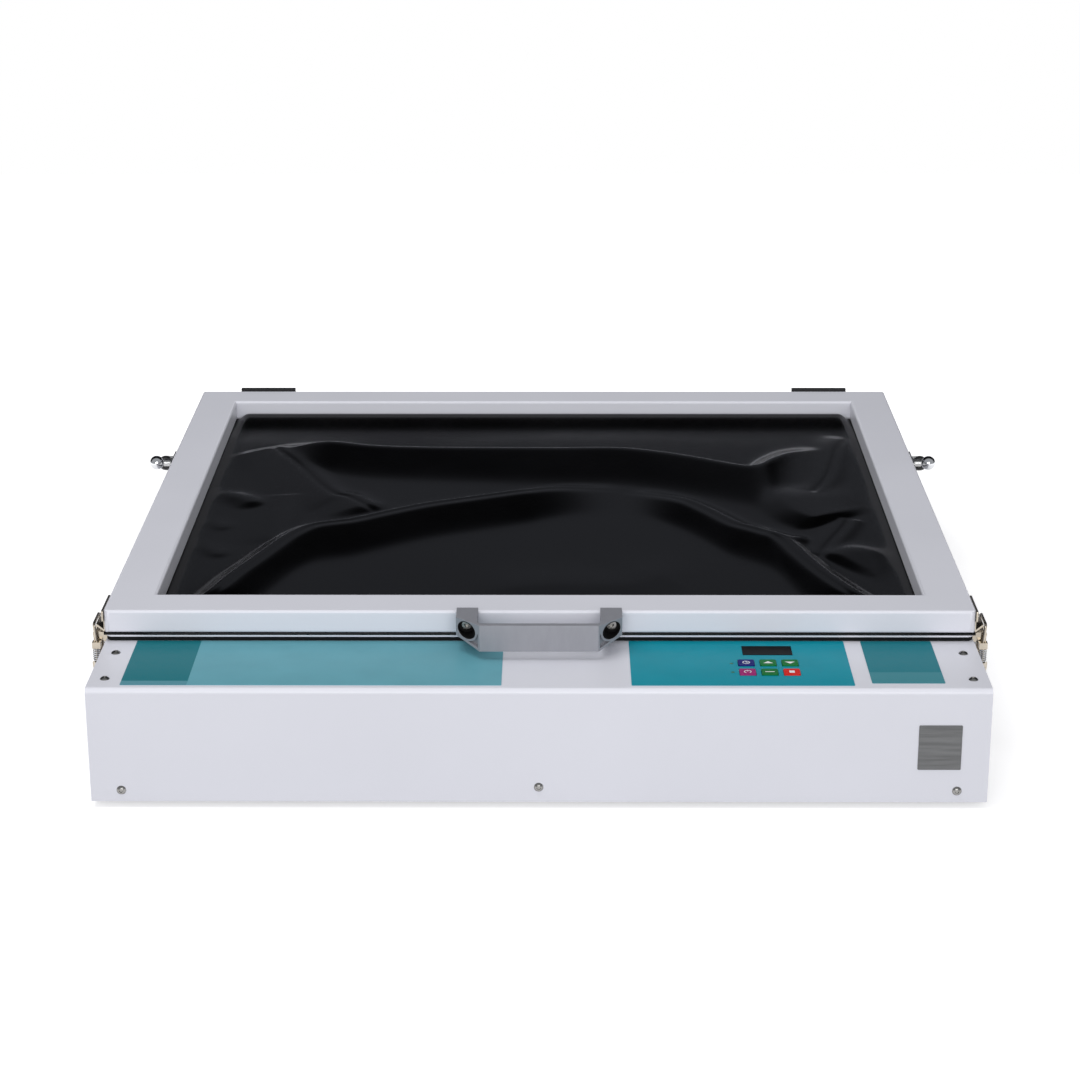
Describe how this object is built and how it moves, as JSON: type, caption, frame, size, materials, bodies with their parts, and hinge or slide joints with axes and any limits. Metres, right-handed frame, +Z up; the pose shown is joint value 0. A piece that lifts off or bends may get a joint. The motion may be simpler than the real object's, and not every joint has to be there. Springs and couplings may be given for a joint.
{
  "type": "screen printing exposure unit",
  "caption": "Screen printing exposure unit with a glass light bed, a hinged lid holding a folded black vacuum blanket, gas springs, two draw latches and a small key panel.",
  "frame": {"origin": "centre of the bounding box in X and Y, at the underside of the feet", "axes": "+X to the right seen from the front, +Y to the back, +Z up"},
  "size_m": [0.7856, 0.7819, 0.1357],
  "materials": {
    "white_paint": "satin powder coat",
    "white_lamp_box": "matt white paint",
    "zinc_steel": "zinc plated",
    "bronze_steel": "yellow passivated",
    "chrome_steel": "polished",
    "brushed_plate": "brushed",
    "cast_grey": "grey powder coat",
    "black_metal": "black paint",
    "black_rubber": "semi gloss",
    "foam_rubber": "matt",
    "glass": "clear",
    "teal_film": "printed film",
    "pale_teal_film": "printed film",
    "black_plastic": "matt",
    "dark_window": "gloss",
    "blue_key": "satin",
    "green_key": "satin",
    "magenta_key": "satin",
    "red_key": "satin",
    "board_green": "lacquered",
    "brass": "turned"
  },
  "bodies": {
    "casing": {"bottom_pan": "white_paint", "side_panel_left": "white_paint", "side_panel_right": "white_paint", "back_panel": "white_paint", "front_cover": "white_paint", "casing_screws": "zinc_steel", "deck_frame": "white_paint", "glass_ledge": "white_lamp_box", "glass_gasket": "foam_rubber", "exposure_glass": "glass", "feet": "black_rubber", "control_overlay": "teal_film", "instruction_labels": "pale_teal_film", "nameplate": "brushed_plate", "control_board": "board_green", "display_module": "dark_window", "power_supply": "zinc_steel", "vacuum_pump": "cast_grey", "pump_mounts": "black_rubber", "vacuum_hose": "black_rubber", "vacuum_port": "brass", "light_box": "white_lamp_box", "led_boards": "board_green", "wiring_loom": "black_plastic", "fan_frame": "black_plastic", "fan_guard": "zinc_steel", "power_inlet": "black_plastic", "hinge_base_leaves": "black_metal", "hinge_pins": "zinc_steel", "strut_base_studs": "zinc_steel", "latch_base_plates": "bronze_steel"},
    "lid": {"lid_frame": "white_paint", "rubber_blanket": "black_rubber", "clamp_frame": "white_paint", "seal_gasket": "foam_rubber", "lid_handle": "cast_grey", "handle_screws": "zinc_steel", "lid_screws": "zinc_steel", "latch_keeper_left": "bronze_steel", "latch_keeper_right": "bronze_steel", "strut_lid_studs": "zinc_steel", "hinge_lid_leaves": "black_metal"},
    "cylinder_left": {"strut_cylinder_left": "black_metal"},
    "rod_left": {"strut_rod_left": "chrome_steel"},
    "lever_left": {"latch_lever_left": "bronze_steel"},
    "bail_left": {"latch_bail_left": "bronze_steel", "latch_springs_left": "chrome_steel"},
    "cylinder_right": {"strut_cylinder_right": "black_metal"},
    "rod_right": {"strut_rod_right": "chrome_steel"},
    "lever_right": {"latch_lever_right": "bronze_steel"},
    "bail_right": {"latch_bail_right": "bronze_steel", "latch_springs_right": "chrome_steel"},
    "key_timer": {"key_timer": "blue_key"},
    "key_up": {"key_up": "green_key"},
    "key_down": {"key_down": "green_key"},
    "key_vacuum": {"key_vacuum": "magenta_key"},
    "key_set": {"key_set": "green_key"},
    "key_stop": {"key_stop": "red_key"},
    "rocker": {"power_rocker": "red_key"},
    "fan": {"fan_rotor": "black_plastic"}
  },
  "joints": [
    {"name": "lid_hinge", "type": "hinge", "parent": "casing", "child": "lid", "pos_m": [0, 0.3846, 0.105], "axis": [-1, 0, 0], "range_deg": [0, 65]},
    {"name": "cylinder_left_hinge", "type": "hinge", "parent": "casing", "child": "cylinder_left", "pos_m": [-0.3845, 0.3646, 0.055], "axis": [-1, 0, 0], "range_deg": [0, 59.26]},
    {"name": "rod_left_slide", "type": "slide", "parent": "cylinder_left", "child": "rod_left", "axis": [0, -0.9516, 0.3075], "range_m": [0, 0.05242]},
    {"name": "lever_left_hinge", "type": "hinge", "parent": "casing", "child": "lever_left", "pos_m": [-0.375, -0.2634, 0.107], "axis": [0, 1, 0], "range_deg": [0, 140]},
    {"name": "bail_left_hinge", "type": "hinge", "parent": "lever_left", "child": "bail_left", "pos_m": [-0.3739, -0.2634, 0.09908], "axis": [0, 1, 0], "range_deg": [-149, 0]},
    {"name": "cylinder_right_hinge", "type": "hinge", "parent": "casing", "child": "cylinder_right", "pos_m": [0.3845, 0.3646, 0.055], "axis": [-1, 0, 0], "range_deg": [0, 59.26]},
    {"name": "rod_right_slide", "type": "slide", "parent": "cylinder_right", "child": "rod_right", "axis": [0, -0.9516, 0.3075], "range_m": [0, 0.05242]},
    {"name": "lever_right_hinge", "type": "hinge", "parent": "casing", "child": "lever_right", "pos_m": [0.375, -0.2634, 0.107], "axis": [0, -1, 0], "range_deg": [0, 140]},
    {"name": "bail_right_hinge", "type": "hinge", "parent": "lever_right", "child": "bail_right", "pos_m": [0.3739, -0.2634, 0.09908], "axis": [0, -1, 0], "range_deg": [-149, 0]},
    {"name": "key_timer_press", "type": "slide", "parent": "casing", "child": "key_timer", "axis": [0, 0, -1], "range_m": [0, 0.0005], "stiffness_N_per_m": 800, "springref_m": -0.0005},
    {"name": "key_up_press", "type": "slide", "parent": "casing", "child": "key_up", "axis": [0, 0, -1], "range_m": [0, 0.0005], "stiffness_N_per_m": 800, "springref_m": -0.0005},
    {"name": "key_down_press", "type": "slide", "parent": "casing", "child": "key_down", "axis": [0, 0, -1], "range_m": [0, 0.0005], "stiffness_N_per_m": 800, "springref_m": -0.0005},
    {"name": "key_vacuum_press", "type": "slide", "parent": "casing", "child": "key_vacuum", "axis": [0, 0, -1], "range_m": [0, 0.0005], "stiffness_N_per_m": 800, "springref_m": -0.0005},
    {"name": "key_set_press", "type": "slide", "parent": "casing", "child": "key_set", "axis": [0, 0, -1], "range_m": [0, 0.0005], "stiffness_N_per_m": 800, "springref_m": -0.0005},
    {"name": "key_stop_press", "type": "slide", "parent": "casing", "child": "key_stop", "axis": [0, 0, -1], "range_m": [0, 0.0005], "stiffness_N_per_m": 800, "springref_m": -0.0005},
    {"name": "rocker_hinge", "type": "hinge", "parent": "casing", "child": "rocker", "pos_m": [0.235, 0.3781, 0.0715], "axis": [0, 0, 1], "range_deg": [0, 16]},
    {"name": "fan_spin", "type": "hinge", "parent": "casing", "child": "fan", "pos_m": [0.12, 0.3781, 0.0555], "axis": [0, 1, 0], "continuous": true}
  ],
  "couplings": [
    {"joint": "cylinder_left_hinge", "follows": "lid_hinge", "ratio": 0.91018},
    {"joint": "rod_left_slide", "follows": "lid_hinge", "m_per_rad": 0.046028},
    {"joint": "bail_left_hinge", "follows": "lever_left_hinge", "ratio": -1.06},
    {"joint": "cylinder_right_hinge", "follows": "lid_hinge", "ratio": 0.91018},
    {"joint": "rod_right_slide", "follows": "lid_hinge", "m_per_rad": 0.046028},
    {"joint": "bail_right_hinge", "follows": "lever_right_hinge", "ratio": -1.06}
  ]
}
